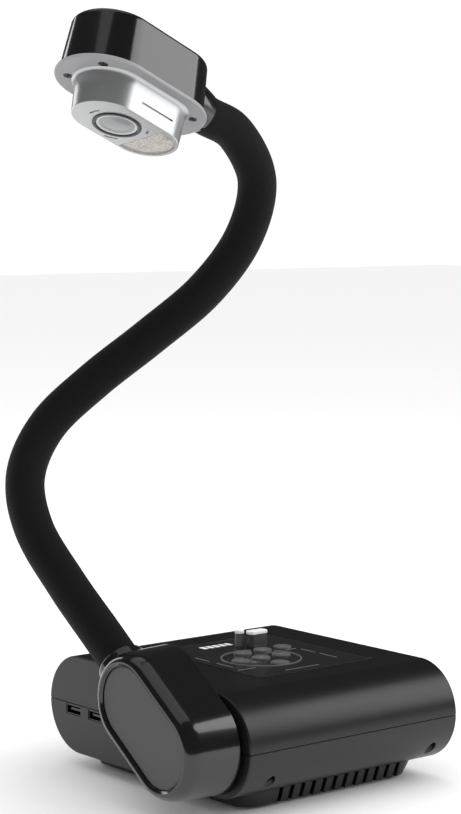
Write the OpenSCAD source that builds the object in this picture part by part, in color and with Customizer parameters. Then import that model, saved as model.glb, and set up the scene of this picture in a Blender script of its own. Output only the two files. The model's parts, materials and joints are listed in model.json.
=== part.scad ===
// Document camera: desk base, swinging arm block, bendable neck and camera head.
// Millimetres. X to the right along the vented front, Y to the back, Z up.
// The origin lies on the table, under the middle of the base.

/* [Base] */
// Width of the base without the arm block
base_w = 165; // [160:1:175]
// Depth of the base, front to back
base_d = 200; // [196:1:210]
// Radius of the rounded front and back
base_r = 31; // [30:0.5:32]
// Height of the pan under the base
pan_h = 8; // [7:0.5:9]
// Height that the rubber feet stand proud
foot_h = 2; // [1.5:0.5:3]
// Wall of the plastic covers
wall = 2.5; // [2:0.1:3]
// Number of vent slots in the front of the pan
vent_count = 12; // [6:1:13]

/* [Control panel] */
// Diameter of each round key
key_d = 12; // [10:0.5:12]
// Spacing of the round keys from left to right
key_pitch = 16.4; // [15.4:0.1:17.4]
// Spacing of the round keys from front to back
row_pitch = 18.2; // [17:0.1:18.4]
// Height that a key stands above the panel
key_proud = 1; // [0.6:0.1:1.2]
// Outer diameter of the trim ring round the arrow keys
ring_d = 51; // [51:0.5:54]

/* [Arm block] */
// Tilt of the arm block as it stands in use
arm_tilt = 35; // [30:1:38]
// Distance between the two round ends of the arm block
arm_len = 40; // [38:1:42]
// Radius of the arm block beside the base
arm_r = 30.3; // [29.5:0.1:30.5]
// Radius at the rim round the end cap
rim_r = 24; // [23.5:0.1:25]
// Width of the arm block along its pivot
arm_w = 37; // [36:0.5:38]
// Outer radius of the hollow pivot shaft
shaft_r = 9; // [8.5:0.1:9.5]

/* [Neck] */
// Outer radius of the neck with its sleeve
neck_r = 12.5; // [12:0.1:13]
// Outer radius of the steel gooseneck inside the sleeve
core_r = 8; // [7.5:0.1:8.2]
// Length left open in the sleeve at each bending point
flex_gap = 7.4; // [7:0.1:9]

/* [Head] */
// Length of the light flange under the camera housing
flange_l = 105; // [103:1:108]
// Width of the flange
flange_w = 62; // [61:0.5:64]
// Height of the camera housing above the flange
housing_h = 33.4; // [32:0.1:34]
// Depth of the lens housing below the flange
lens_h = 21.5; // [20.5:0.5:24]

/* [Hidden] */
$fn = 64;

base_z = foot_h + pan_h;               // underside of the base covers
mid_z = base_z + base_r;               // height of the parting seam
top_z = base_z + 2 * base_r;           // flat control panel
arc_y = base_d / 2 - base_r;           // centres of the round front and back
side_x = base_w / 2;
seam = 0.15;                           // half of the gap between the covers
fit = 0.3;                             // clearance round a moving key
port_z = mid_z - 4;
port_y = [74.5, 52];                   // video and data sockets on the left end
inlet_y = [40, 70];                    // monitor socket and power inlet on the right end
inlet_z = mid_z - 8.5;
screw_xy = [[-62, -92], [67.5, -92], [-62, 92], [67.5, 92]];
well_z = base_z + 18;                  // underside of the cover screws, deep in their wells
board_z = port_z - 4.6;                // underside of the main board
board_t = 1.6;
board_xy = [[-66, 20], [66, -50], [-62, 60], [66, 60]];
ballast_h = 7;
ballast_xy = [10, 13];

key_mid = [3, -7.4];                   // centre of the arrow keys
key_top = top_z + key_proud;
key_foot = top_z - 8.4;                // underside of a key's stem
key_rim = 1.2;                         // rim that keeps a key under the cover
power_xy = [19.3, 33.8];
upright_h = 10;                        // height of the power button and window over the panel
ir_xy = [27, 25.7];
ir_size = [14, 7];
key_places = [
    key_mid, key_mid + [0, row_pitch], key_mid - [0, row_pitch],
    key_mid - [key_pitch, 0], key_mid + [key_pitch, 0],
    key_mid + [key_pitch, row_pitch], key_mid + [2 * key_pitch, row_pitch]
];
overlay = [-36, -52, 58, 52];          // panel label: left, front, right and back edges
overlay_t = 0.6;

pan_x = [-72.5, 72.5];                 // ends of the pan where it meets the base
pan_y = 80;
pan_draft = 4.5;                       // how far its walls lean in at the bottom
vent_pitch = 8.55;
vent_mid = 6;
vent_w = 3;
foot_xy = [[-54, -56], [52, -56], [-54, 56], [52, 56]];

pivot = [0, -64, base_z + 32];
gap_x = side_x + 2.5;                  // inner face of the arm block, left of the base
rim_x = gap_x + arm_w;
rim_round = 10;
cap_r = 21.7;
arm_wall = 2.5;
cap_z = rim_x - 3.2;                   // floor of the recess for the end cap
neck_x = -104.5;

// Centre line of the neck, from the arm block to the head
neck_path = [
    [neck_x, -24, 70], [neck_x, 12, 96], [neck_x, 50, 123], [-103, 87, 153],
    [-92, 112, 183], [-70, 119, 213], [-41, 108, 241], [-12, 87, 269],
    [16, 65, 299], [35, 49, 333], [38, 39, 369], [15.6, 33, 398.1], [-10, 31.3, 409.1],
    [-33.9, 29.8, 419.4]
];
flex_at = [1, 6, 10];                  // path points where the neck bends
step_len = 42;                         // usual distance between two path points
bore_r = 6;
sleeve_bore = core_r + 0.3;
half_gap = flex_gap / 2 / step_len;
core_end = (core_r + 0.4) / step_len;   // where a core ends before the next one's nose

head_pos = [-73.45, 23.75, 417.8];     // centre of the flange's underside
head_turn = [11.5, -23.3, 183.65];       // about X, Y and Z
flange_r = flange_w / 2;
flange_t = 2.6;
head_len = flange_l - flange_w;        // between the centres of the round ends
lens_len = 32;
lens_at = 7;
slot_angles = [0, 140, 237];           // curved slots round the lens
slot_span = 26;
neck_n = 17.6;                          // height of the neck's axis above the flange
head_screw_xy = [[38, 15], [38, -15], [-38, 15], [-38, -15]];
lamp_places = [[-17, -11], [-17, 0], [-17, 11], [-26, -8.5], [-26, 3], [-25, 12]];

// ---- helpers ----

// Extrudes a Y-Z outline along X
module along_x(x0, x1) {
    translate([x0, 0, 0]) rotate([90, 0, 90]) linear_extrude(height = x1 - x0) children();
}

// Side outline of the base, smaller by inset all round
module base_outline(inset = 0) {
    for (s = [-1, 1]) translate([s * arc_y, mid_z]) circle(r = base_r - inset);
    translate([-arc_y, base_z + inset]) square([2 * arc_y, 2 * (base_r - inset)]);
}

module round_rect(w, d, r) {
    square([w - 2 * r, d], center = true);
    square([w, d - 2 * r], center = true);
    for (x = [-1, 1], y = [-1, 1]) translate([x * (w / 2 - r), y * (d / 2 - r)]) circle(r = r);
}

module ring(r_out, r_in, h) {
    difference() {
        cylinder(r = r_out, h = h);
        translate([0, 0, -1]) cylinder(r = r_in, h = h + 2);
    }
}

// A turned profile of [radius, height] points with its round ends drawn apart along Y
module long_round(len, profile) {
    rotate([0, 0, 180]) rotate_extrude(angle = 180) polygon(profile);
    translate([0, len, 0]) rotate_extrude(angle = 180) polygon(profile);
    translate([0, len, 0]) rotate([90, 0, 0]) linear_extrude(height = len) {
        polygon(profile);
        mirror([1, 0]) polygon(profile);
    }
}

// The same shape centred, with its long side along X
module long_round_x(len, profile) {
    translate([-len / 2, 0, 0]) rotate([0, 0, -90]) long_round(len, profile);
}

function disc(r, z0, z1) = [[0, z0], [r, z0], [r, z1], [0, z1]];

// Arm block axes: Y along the block from the pivot, Z outwards to the left
module in_arm() {
    translate(pivot) rotate([arm_tilt, 0, 0]) rotate([0, -90, 0]) children();
}

// A cylinder along the arm block's long axis, in line with the neck
module arm_rod(r, y0, y1) {
    translate([0, y0, -neck_x]) rotate([-90, 0, 0]) cylinder(r = r, h = y1 - y0);
}

// Head axes: X from the neck to the free end, Z up through the housing
module in_head() {
    translate(head_pos) rotate(head_turn) children();
}

// ---- neck sweep ----

function catmull(a, b, c, d, t) = 0.5 * (2 * b + (c - a) * t
    + (2 * a - 5 * b + 4 * c - d) * t * t + (3 * b - a - 3 * c + d) * t * t * t);
function path_pt(i) = i < 0 ? 2 * neck_path[0] - neck_path[1]
    : i >= len(neck_path) ? 2 * neck_path[len(neck_path) - 1] - neck_path[len(neck_path) - 2]
    : neck_path[i];
function at(u) = let (i = min(floor(u), len(neck_path) - 2))
    catmull(path_pt(i - 1), path_pt(i), path_pt(i + 1), path_pt(i + 2), u - i);
function unit(v) = v / norm(v);
function heading(u) = unit(at(u + 0.01) - at(u - 0.01));
function circle_at(u, r, n) = let (t = heading(u), s = unit(cross([0, 1, 0], t)), w = cross(t, s))
    [for (k = [0:n - 1]) at(u) + r * (cos(360 * k / n) * s + sin(360 * k / n) * w)];

// A tube along the path: rings of [u, radius] outside, the same u with one bore inside
module neck_tube(stations, bore, n) {
    m = len(stations);
    rings = concat(
        [for (s = stations) circle_at(s[0], s[1], n)],
        [for (i = [m - 1:-1:0]) circle_at(stations[i][0], bore, n)]);
    count = len(rings);
    polyhedron(
        points = [for (r = rings, p = r) p],
        faces = [for (i = [0:count - 1], k = [0:n - 1])
            let (a = i * n + k, b = i * n + (k + 1) % n, j = (i + 1) % count * n)
            each [[a, j + k, b], [b, j + k, j + (k + 1) % n]]],
        convexity = 6);
}

function stations(u0, u1, r, n) = [for (i = [0:n]) [u0 + (u1 - u0) * i / n, r]];

// The start of a core is a ball nose that turns in the end of the core before it
function nose(u) = [for (d = [5.2, 3.6, 1.8]) [u - d / step_len, sqrt(core_r * core_r - d * d)]];

module neck_core(u0, u1, n, first = false) {
    neck_tube(concat(first ? [] : nose(u0), stations(u0, u1, core_r, n)), bore_r, 16);
}

module neck_sleeve(u0, u1, n) {
    neck_tube(stations(u0, u1, neck_r, n), sleeve_bore, 20);
}

// ---- base ----

module top_cover() color("#1b1b1c") difference() {
    union() {
        difference() {
            along_x(-side_x, side_x) base_outline();
            along_x(-side_x + wall, side_x - wall) base_outline(wall);
        }
        for (p = screw_xy) intersection() {
            translate([p.x, p.y, mid_z]) cylinder(r = 4.5, h = base_r);
            along_x(-side_x, side_x) base_outline(0.5);
        }
    }
    translate([-100, -110, 0]) cube([200, 220, mid_z + seam]);
    for (p = screw_xy) translate([p.x, p.y, mid_z - 1]) cylinder(r = 1.4, h = 13);
    pivot_hole();
    panel_recess();
    for (p = key_places) translate([p.x, p.y, top_z - 10]) cylinder(r = key_d / 2 + fit, h = 12);
    translate([power_xy.x, power_xy.y, top_z - 10]) cylinder(r = 3.3, h = 12);
    translate([ir_xy.x, ir_xy.y, top_z - 5]) linear_extrude(height = 8)
        round_rect(ir_size.x + 0.1, ir_size.y + 0.1, 2.05);
}

module pivot_hole() {
    translate([-side_x - 1, pivot.y, pivot.z]) rotate([0, 90, 0])
        cylinder(r = shaft_r + 1.5, h = wall + 2);
}

module panel_shape(grow = 0) {
    translate([(overlay[0] + overlay[2]) / 2, (overlay[1] + overlay[3]) / 2])
        round_rect(overlay[2] - overlay[0] + grow, overlay[3] - overlay[1] + grow, 6);
}

module panel_recess() {
    translate([0, 0, top_z - overlay_t]) linear_extrude(height = 2) panel_shape(1.6);
}

module panel_overlay() color("#101011") difference() {
    translate([0, 0, top_z - overlay_t]) linear_extrude(height = overlay_t) panel_shape();
    for (p = key_places) translate([p.x, p.y, top_z - 2]) cylinder(r = key_d / 2 + fit, h = 4);
    translate([power_xy.x, power_xy.y, top_z - 2]) cylinder(r = 3.3, h = 4);
    translate([ir_xy.x, ir_xy.y, top_z - 2]) linear_extrude(height = 4)
        round_rect(ir_size.x + 0.1, ir_size.y + 0.1, 2.05);
}

module bottom_cover() color("#1b1b1c") difference() {
    union() {
        difference() {
            along_x(-side_x, side_x) base_outline();
            along_x(-side_x + wall, side_x - wall) base_outline(wall);
        }
        for (p = screw_xy) intersection() {
            translate([p.x, p.y, base_z]) cylinder(r = 5.4, h = base_r);
            along_x(-side_x, side_x) base_outline();
        }
        for (p = board_xy) translate([p.x, p.y, base_z + 1]) cylinder(r = 4, h = board_z - base_z - 1);
    }
    translate([-100, -110, mid_z - seam]) cube([200, 220, 60]);
    for (p = screw_xy) {
        translate([p.x, p.y, 0]) cylinder(r = 3.6, h = well_z + 2);
        translate([p.x, p.y, 0]) cylinder(r = 1.8, h = 60);
    }
    for (p = board_xy) translate([p.x, p.y, base_z + 4]) cylinder(r = 1.3, h = 40);
    pivot_hole();
    port_hole([-side_x, port_y[0], port_z], 15.4, 6.2);
    port_hole([-side_x, port_y[1], port_z], 13.6, 6.2);
    port_hole([side_x - wall, inlet_y[0], inlet_z], 31.4, 12.9);
    translate([side_x - wall - 1, inlet_y[1], inlet_z]) rotate([0, 90, 0]) cylinder(r = 5.6, h = wall + 2);
}

module port_hole(p, w, h) {
    translate([p.x - 1, p.y - w / 2, p.z - h / 2]) cube([wall + 2, w, h]);
}

module pan_outer(inset) {
    intersection() {
        rotate([90, 0, 90]) translate([0, 0, -90]) linear_extrude(height = 180) polygon([
            [-pan_y + pan_draft + inset, foot_h], [pan_y - pan_draft - inset, foot_h],
            [pan_y - inset, base_z + 4], [-pan_y + inset, base_z + 4]]);
        rotate([90, 0, 0]) translate([0, 0, -90]) linear_extrude(height = 180) polygon([
            [pan_x[0] + pan_draft + inset, foot_h], [pan_x[1] - pan_draft - inset, foot_h],
            [pan_x[1] - inset, base_z + 4], [pan_x[0] + inset, base_z + 4]]);
        translate([(pan_x[0] + pan_x[1]) / 2, 0, 0]) linear_extrude(height = 30)
            round_rect(pan_x[1] - pan_x[0], 2 * pan_y, 14);
    }
}

module base_pan() color("#171718") difference() {
    pan_outer(0);
    intersection() {
        pan_outer(wall);
        translate([-90, -90, foot_h + wall]) cube([180, 180, 30]);
    }
    along_x(-90, 90) base_outline(-0.05);
    for (i = [0:vent_count - 1]) translate([vent_mid + (i - (vent_count - 1) / 2) * vent_pitch, 0, 0])
        for (s = [-1, 1]) translate([-vent_w / 2, s * (pan_y - 2) - 6, foot_h - 1]) cube([vent_w, 12, 30]);
    for (p = foot_xy) translate([p.x, p.y, 0]) cylinder(r = 9.1, h = foot_h + 1);
}

module feet() color("#2a2a2a") for (p = foot_xy) translate([p.x, p.y, 0]) {
    cylinder(r1 = 8, r2 = 9, h = 1);
    translate([0, 0, 1]) cylinder(r = 9, h = foot_h);
}

module cover_screws() color("silver") for (p = screw_xy) translate([p.x, p.y, well_z]) difference() {
    union() {
        cylinder(r = 3, h = 2);
        translate([0, 0, 2]) cylinder(r = 1.35, h = 22);
    }
    translate([0, 0, -1]) cylinder(r = 1.3, h = 2.2, $fn = 6);
}

module ballast_plate() color("gray") difference() {
    translate([ballast_xy.x, ballast_xy.y, base_z + wall + 0.1]) linear_extrude(height = ballast_h)
        round_rect(124, 110, 8);
    for (p = board_xy) translate([p.x, p.y, base_z]) cylinder(r = 4.5, h = ballast_h + 5);
}

module main_board() color("darkgreen") difference() {
    translate([0, 18, board_z]) linear_extrude(height = board_t) difference() {
        square([158, 148], center = true);
        translate([-72, -68]) square([34, 40], center = true);
        translate([79, inlet_y[0] - 18]) square([19, 18.6], center = true);
        translate([79, inlet_y[1] - 18]) square([20.6, 11.6], center = true);
    }
    for (p = board_xy) translate([p.x, p.y, board_z - 1]) cylinder(r = 1.6, h = 4);
    for (p = screw_xy) translate([p.x, p.y, board_z - 1]) cylinder(r = 6, h = 4);
}

module board_screws() color("silver") for (p = board_xy) translate([p.x, p.y, board_z + board_t]) difference() {
    union() {
        translate([0, 0, -9]) cylinder(r = 1.25, h = 9);
        cylinder(r = 2.8, h = 1.8);
    }
    translate([0, 0, 0.8]) cylinder(r = 1.3, h = 2, $fn = 6);
}

module heat_sink() color("silver") translate([6, 30, board_z + board_t]) {
    translate([-14, -14, 0]) cube([28, 28, 3.2]);
    for (i = [0:6]) translate([-14 + i * 4.4, -14, 3.2]) cube([1.6, 28, 6]);
}

// A metal socket shell open towards -X, with a tongue inside
module socket(w, h, depth, tongue) {
    difference() {
        translate([0, -w / 2, -h / 2]) cube([depth, w, h]);
        translate([-1, -w / 2 + 0.5, -h / 2 + 0.5]) cube([depth - 1, w - 1, h - 1]);
    }
    translate([1.5, -tongue / 2, -0.6]) cube([depth - 2, tongue, 1.4]);
}

module video_socket() color("silver") translate([-side_x + 0.4, port_y[0], port_z]) socket(15, 5.8, 12, 11);
module data_socket() color("silver") translate([-side_x + 0.4, port_y[1], port_z]) socket(13.2, 5.8, 14, 10);

module monitor_socket() color("#24408e") translate([side_x - 0.6, inlet_y[0], inlet_z]) difference() {
    union() {
        translate([-3, -15.5, -6.2]) cube([3, 31, 12.4]);
        translate([-12, -9, -6.2]) cube([9.5, 18, 12.4]);
    }
    translate([-2, -8, -3.5]) cube([3, 16, 7]);
    for (s = [-1, 1]) translate([-4, s * 12.5, 0]) rotate([0, 90, 0]) cylinder(r = 1.3, h = 5);
}

module power_inlet() color("#222222") translate([side_x - 0.4, inlet_y[1], inlet_z]) rotate([0, -90, 0]) {
    difference() {
        union() {
            cylinder(r = 5.5, h = 3);
            translate([0, 0, 3]) linear_extrude(height = 10) square([8.2, 10], center = true);
        }
        translate([0, 0, -1]) cylinder(r = 2.8, h = 10);
    }
    cylinder(r = 1, h = 9.5);
}

module nav_ring() color("#8a8a8c") translate([key_mid.x, key_mid.y, top_z]) difference() {
    ring(ring_d / 2, ring_d / 2 - 0.9, 0.5);
    translate([key_pitch, row_pitch, -1]) cylinder(r = key_d / 2 + 1.2, h = 3);
}

module key_board() color("darkgreen") difference() {
    translate([9, 0, top_z - 15]) linear_extrude(height = board_t) round_rect(86, 90, 3);
    for (s = [-38, 38], t = [-40, 40]) translate([9 + s, t, top_z - 16]) cylinder(r = 1.4, h = 4);
}

module key_mat() color("#d8d4c8") translate([9, 0, top_z - 13.4]) difference() {
    union() {
        linear_extrude(height = 1) round_rect(82, 80, 3);
        for (p = concat(key_places, [power_xy])) translate([p.x - 9, p.y, 1]) cylinder(r1 = 4.5, r2 = 3, h = 2.8);
    }
    for (p = concat(key_places, [power_xy])) translate([p.x - 9, p.y, -1]) cylinder(r1 = 4.2, r2 = 1.6, h = 3.6);
}

module key(p) translate([p.x, p.y, 0]) {
    translate([0, 0, key_foot]) cylinder(r = key_d / 2 + 1, h = key_rim);
    translate([0, 0, key_foot]) cylinder(r = key_d / 2, h = key_top - key_foot - 0.5);
    translate([0, 0, key_top - 0.5]) cylinder(r1 = key_d / 2, r2 = key_d / 2 - 0.6, h = 0.5);
}

module key_select() color("#6f7072") key(key_places[0]);
module key_up() color("#58595b") key(key_places[1]);
module key_down() color("#58595b") key(key_places[2]);
module key_left() color("#58595b") key(key_places[3]);
module key_right() color("#58595b") key(key_places[4]);
module key_zoom() color("#58595b") key(key_places[5]);
module key_lamp() color("#58595b") key(key_places[6]);

module power_button() color("#4c4d4f") translate([power_xy.x, power_xy.y, key_foot]) {
    cylinder(r = 4.2, h = key_rim);
    cylinder(r = 3, h = top_z + upright_h - key_foot);
}

module ir_window() color("#3a3136") translate([ir_xy.x, ir_xy.y, top_z - 4]) {
    linear_extrude(height = 1.2) round_rect(ir_size.x + 2, ir_size.y + 2, 3);
    linear_extrude(height = 4 + upright_h) round_rect(ir_size.x, ir_size.y, 2);
}

// ---- hinge ----

module hinge_bracket() color("gray") difference() {
    union() {
        along_x(-79.6, -76) intersection() {
            base_outline(3.2);
            translate([-97, base_z]) square([60, 60]);
        }
        translate([-79.6, pivot.y, pivot.z]) rotate([0, 90, 0]) cylinder(r = 15, h = 13.6);
    }
    translate([-81, pivot.y, pivot.z]) rotate([0, 90, 0]) cylinder(r = shaft_r + 2.02, h = 20);
}

module on_pivot(x) translate([x, pivot.y, pivot.z]) rotate([0, 90, 0]) children();

module hinge_bush() color("goldenrod") on_pivot(-79.6) ring(shaft_r + 2, shaft_r + 0.05, 13.6);
module thrust_washer() color("#111111") on_pivot(-gap_x + 0.3) ring(22, shaft_r + 0.3, 2.15);
module hinge_shaft() color("silver") on_pivot(-rim_x + 10) ring(shaft_r, 5.5, rim_x - 10 - 58);
module spring_washer() color("silver") on_pivot(-65.7) ring(14, shaft_r + 0.05, 1.6);

module hinge_nut() color("silver") on_pivot(-64) difference() {
    cylinder(r = 14, h = 5, $fn = 6);
    translate([0, 0, -1]) cylinder(r = shaft_r + 0.02, h = 7);
}

// ---- arm block ----

// Outline of the arm block as radius and distance to the left
arm_profile = concat(
    [[0, gap_x], [arm_r, gap_x]],
    [for (a = [0:15:90]) [rim_r + (arm_r - 1 - rim_r) * cos(a), rim_x - rim_round * (1 - sin(a))]],
    [[0, rim_x]]);

module arm_shell() color("#1c1c1e") in_arm() difference() {
    long_round(arm_len, arm_profile);
    long_round(arm_len, [
        [0, gap_x - 1], [arm_r - arm_wall, gap_x - 1], [arm_r - arm_wall - 1, rim_x - 10],
        [arm_r - arm_wall - 2.4, cap_z - arm_wall], [0, cap_z - arm_wall]]);
    long_round(arm_len, disc(cap_r + 0.3, cap_z, rim_x + 1));
    arm_rod(neck_r + 2.55, arm_len + 10, arm_len + 40);
}

module arm_cap() color("#55565a") in_arm()
    long_round(arm_len, [[0, cap_z], [cap_r, cap_z], [cap_r, cap_z + 0.9], [cap_r - 0.5, cap_z + 1.4], [0, cap_z + 1.4]]);

module arm_cover() color("#1c1c1e") in_arm() difference() {
    long_round(arm_len, disc(arm_r - arm_wall - 0.1, gap_x, gap_x + 2.4));
    translate([0, 0, gap_x - 1]) cylinder(r = shaft_r + 0.1, h = 5);
}

module arm_frame() color("silver") in_arm() difference() {
    union() {
        translate([0, 0, 98]) cylinder(r = 15, h = 12);
        translate([-7, 0, 98]) cube([14, arm_len - 6, 12]);
        arm_rod(11.6, arm_len - 14, arm_len + 14);
    }
    translate([0, 0, 90]) cylinder(r = shaft_r + 0.02, h = 30);
    arm_rod(core_r + 0.15, arm_len - 8, arm_len + 20);
}

module neck_collar() color("#111112") in_arm() difference() {
    union() {
        arm_rod(neck_r + 2.5, arm_len + 22, arm_len + 31);
        arm_rod(neck_r + 1.4, arm_len + 30, arm_len + 32);
    }
    arm_rod(neck_r + 0.2, arm_len + 10, arm_len + 40);
}

// ---- neck ----

module neck_core_1() color("gray") neck_core(-0.2, flex_at[0] - core_end, 3, first = true);
module neck_sleeve_1() color("#151515") neck_sleeve(0.16, flex_at[0] - half_gap, 3);
module neck_core_2() color("gray") neck_core(flex_at[0], flex_at[1] - core_end, 15);
module neck_sleeve_2() color("#151515") neck_sleeve(flex_at[0] + half_gap, flex_at[1] - half_gap, 15);
module neck_core_3() color("gray") neck_core(flex_at[1], flex_at[2] - core_end, 13);
module neck_sleeve_3() color("#151515") neck_sleeve(flex_at[1] + half_gap, flex_at[2] - half_gap, 13);
module neck_core_4() color("gray") neck_core(flex_at[2], 12.95, 9);
module neck_sleeve_4() color("#151515") neck_sleeve(flex_at[2] + half_gap, 12.2, 7);

// ---- head ----

// Outside of the camera housing, grown a little where other parts clear it
module housing_solid(grow = 0) {
    r = flange_r - 2.4 + grow;
    long_round_x(head_len, [
        [0, flange_t], [r, flange_t], [r - 2.2, housing_h - 2 + flange_t],
        [r - 2.8, housing_h - 0.8 + flange_t], [r - 4, housing_h + flange_t + grow],
        [0, housing_h + flange_t + grow]]);
}

module head_rod(r1, r2, x0, x1) {
    translate([x0, 0, neck_n]) rotate([0, 90, 0]) cylinder(r1 = r1, r2 = r2, h = x1 - x0);
}

module head_housing() color("#161617") in_head() difference() {
    housing_solid();
    long_round_x(head_len, [
        [0, flange_t - 1], [flange_r - 4.6, flange_t - 1],
        [flange_r - 6.8, housing_h + flange_t - 2.4], [0, housing_h + flange_t - 2.4]]);
    head_rod(core_r + 0.4, core_r + 0.4, -60, -40);
}

module head_flange() color("#b4b5b8") in_head() difference() {
    long_round_x(head_len, [
        [0, 0], [flange_r - 0.8, 0], [flange_r, 0.8], [flange_r, flange_t - 0.6],
        [flange_r - 0.6, flange_t], [0, flange_t]]);
    long_round_x(lens_len - 8, disc(17, -1, flange_t + 1));
    for (p = head_screw_xy) translate([p.x, p.y, -1]) {
        cylinder(r = 1.6, h = 5);
        cylinder(r = 3.1, h = 2.2);
    }
}

module lens_housing() color("#d9dadc") in_head() difference() {
    long_round_x(lens_len, [
        [0, -0.02], [24.5, -0.02], [23, -1.5], [22.4, -4], [21, -lens_h + 1],
        [20.4, -lens_h], [0, -lens_h]]);
    long_round_x(lens_len, [[0, 1], [20.4, 1], [19.2, -lens_h + 2.4], [0, -lens_h + 2.4]]);
    translate([lens_at, 0, -lens_h - 1]) cylinder(r = 13.4, h = 6);
    lamp_shape(0.1, -lens_h - 1, -lens_h + 5);
    translate([-17, 20, -13.4]) cube([26, 6, 1.3]);
    for (a = slot_angles) translate([lens_at, 0, -lens_h - 0.4]) rotate([0, 0, a - slot_span / 2])
        rotate_extrude(angle = slot_span) translate([18.1, 0]) square([1.4, 1.2]);
}

// The lamp window fills the neck side of the lower face
module lamp_shape(grow, z0, z1) {
    intersection() {
        long_round_x(lens_len, disc(18.4 + grow, z0, z1));
        translate([-40, -30, z0 - 1]) cube([40 - 13 + grow, 60, z1 - z0 + 2]);
    }
}

module lens_ring() color("#0c0c0c") in_head() translate([lens_at, 0, -lens_h - 0.8]) difference() {
    union() {
        cylinder(r = 15, h = 0.8);
        cylinder(r = 13.3, h = 5);
    }
    translate([0, 0, -1]) cylinder(r = 12.6, h = 8);
}

module lens_glass() color("#8f9498") in_head() translate([lens_at, 0, -lens_h - 0.2]) cylinder(r = 12.5, h = 1.6);

module lens_barrel() color("#111111") in_head() translate([lens_at, 0, -lens_h + 1.6]) {
    ring(12, 9, lens_h - 6);
    translate([0, 0, lens_h - 6]) ring(14, 6, 3);
}

module sensor_board() color("darkgreen") in_head() {
    translate([-22, -18, 6]) cube([52, 36, board_t]);
    translate([lens_at - 6, -6, 4.2]) cube([12, 12, 1.8]);
}

module lamp_board() color("white") in_head() lamp_shape(-0.6, -lens_h + 5.2, -lens_h + 6.6);

module lamp_leds() color("lightyellow") in_head() for (p = lamp_places)
    translate([p.x, p.y, -lens_h + 2.4]) cylinder(r1 = 4, r2 = 2, h = 2.8);

module lamp_window() color("#e9e6d8") in_head() lamp_shape(0, -lens_h, -lens_h + 1.6);

module head_screws() color("silver") in_head() for (p = head_screw_xy) translate([p.x, p.y, 0.4]) difference() {
    union() {
        cylinder(r = 2.8, h = 0.8);
        cylinder(r = 1.5, h = 9);
    }
    translate([0, 0, -1]) cylinder(r = 1, h = 1.5, $fn = 6);
}

module head_collar() color("#131314") in_head() difference() {
    head_rod(13.3, 15.5, -58, -40);
    housing_solid(0.05);
    long_round_x(head_len, disc(flange_r + 1, -1, flange_t + 0.05));
    head_rod(neck_r + 0.2, neck_r + 0.2, -60, -30);
}

module neck_nut() color("silver") in_head() difference() {
    head_rod(11.5, 11.5, -43.6, -38.6);
    head_rod(core_r + 0.1, core_r + 0.1, -50, -30);
}

top_cover();
bottom_cover();
base_pan();
feet();
cover_screws();
ballast_plate();
main_board();
board_screws();
heat_sink();
video_socket();
data_socket();
monitor_socket();
power_inlet();
panel_overlay();
nav_ring();
key_board();
key_mat();
ir_window();
hinge_bracket();
hinge_bush();
thrust_washer();
key_select();
key_up();
key_down();
key_left();
key_right();
key_zoom();
key_lamp();
power_button();
arm_shell();
arm_cap();
arm_cover();
arm_frame();
hinge_shaft();
spring_washer();
hinge_nut();
neck_collar();
neck_core_1();
neck_sleeve_1();
neck_core_2();
neck_sleeve_2();
neck_core_3();
neck_sleeve_3();
neck_core_4();
neck_sleeve_4();
head_collar();
neck_nut();
head_housing();
head_flange();
lens_housing();
lens_ring();
lens_barrel();
lens_glass();
sensor_board();
lamp_board();
lamp_leds();
lamp_window();
head_screws();
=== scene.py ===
"""Document camera: the looks of each piece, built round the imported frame.

Lengths in the settings are metres. The pieces lie in the frame's own axes:
X to the right along the vented front, Y to the back, Z up.
"""
import json
import math

import bpy
from mathutils import Euler, Matrix, Vector


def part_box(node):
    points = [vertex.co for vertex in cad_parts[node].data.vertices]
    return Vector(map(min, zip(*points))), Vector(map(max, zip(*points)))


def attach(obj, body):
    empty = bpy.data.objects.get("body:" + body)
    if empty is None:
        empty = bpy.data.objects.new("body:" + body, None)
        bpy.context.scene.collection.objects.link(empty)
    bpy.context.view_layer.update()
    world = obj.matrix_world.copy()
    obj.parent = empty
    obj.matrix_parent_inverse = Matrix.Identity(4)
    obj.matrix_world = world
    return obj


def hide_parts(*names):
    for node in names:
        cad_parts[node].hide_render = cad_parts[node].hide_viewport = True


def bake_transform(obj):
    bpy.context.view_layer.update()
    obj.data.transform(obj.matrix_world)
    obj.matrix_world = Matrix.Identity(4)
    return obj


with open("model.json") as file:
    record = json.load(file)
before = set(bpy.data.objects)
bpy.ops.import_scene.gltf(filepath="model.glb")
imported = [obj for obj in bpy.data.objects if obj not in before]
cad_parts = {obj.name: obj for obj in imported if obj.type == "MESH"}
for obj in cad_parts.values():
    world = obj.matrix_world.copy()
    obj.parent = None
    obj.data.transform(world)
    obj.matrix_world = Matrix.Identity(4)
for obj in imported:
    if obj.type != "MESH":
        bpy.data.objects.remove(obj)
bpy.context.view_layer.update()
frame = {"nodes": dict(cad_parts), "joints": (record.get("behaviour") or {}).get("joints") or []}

bl_info = {
    "name": "Document Camera Pieces",
    "version": (1, 0, 0),
    "blender": (4, 5, 0),
    "location": "View3D > Sidebar > Document Camera",
    "description": "Builds the visible pieces of a gooseneck document camera and its studio",
    "category": "Add Mesh",
}

MM = 0.001

# ---- places that the frame gives ----

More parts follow.
